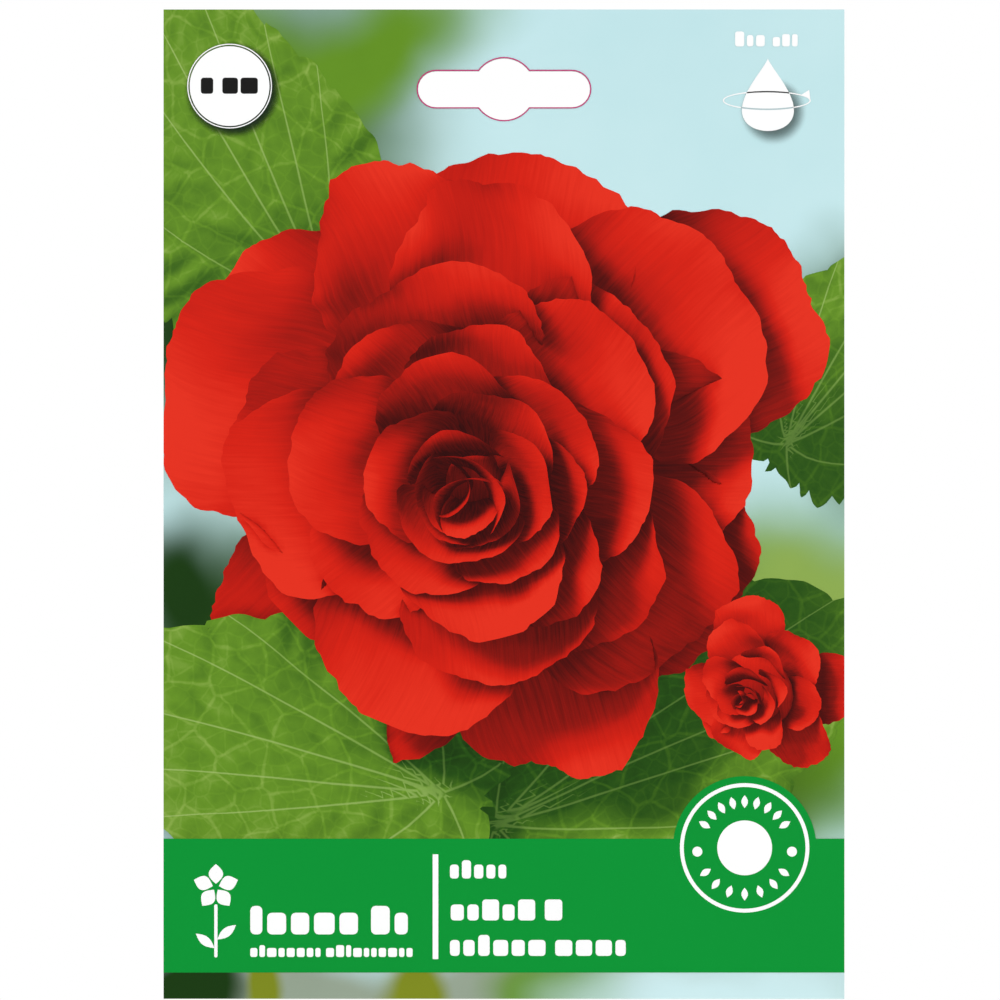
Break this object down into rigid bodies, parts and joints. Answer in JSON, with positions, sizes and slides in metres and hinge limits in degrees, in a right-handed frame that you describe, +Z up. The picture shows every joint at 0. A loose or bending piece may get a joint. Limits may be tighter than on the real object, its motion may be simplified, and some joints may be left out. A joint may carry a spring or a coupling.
{
  "type": "hanging flower bulb pack",
  "caption": "Hanging retail pack: a flat printed card with a euro hang slot, a clear vented film pocket sealed to its back, and a begonia tuber resting in wood shavings inside.",
  "frame": {"origin": "where a display hook carries the pack: the top of the slot's round eye, in the plane of the printed face", "axes": "+Z up along the card's height, -Y out of the printed face, +X to the viewer's right when facing the print"},
  "size_m": [0.1266, 0.0299, 0.1841],
  "materials": {
    "printed_board": "coated board with a semi-gloss printed face and a plain white back that carries a few planting signs",
    "clear_film": "thin clear glossy film, softly creased",
    "tuber_skin": "dry, corky, matt brown skin with pink buds",
    "wood_shavings": "pale curled pine shavings, matt"
  },
  "bodies": {
    "root": {"card": "printed_board", "film_pocket": "clear_film", "begonia_tuber": "tuber_skin", "wood_shavings": "wood_shavings"}
  },
  "joints": []
}
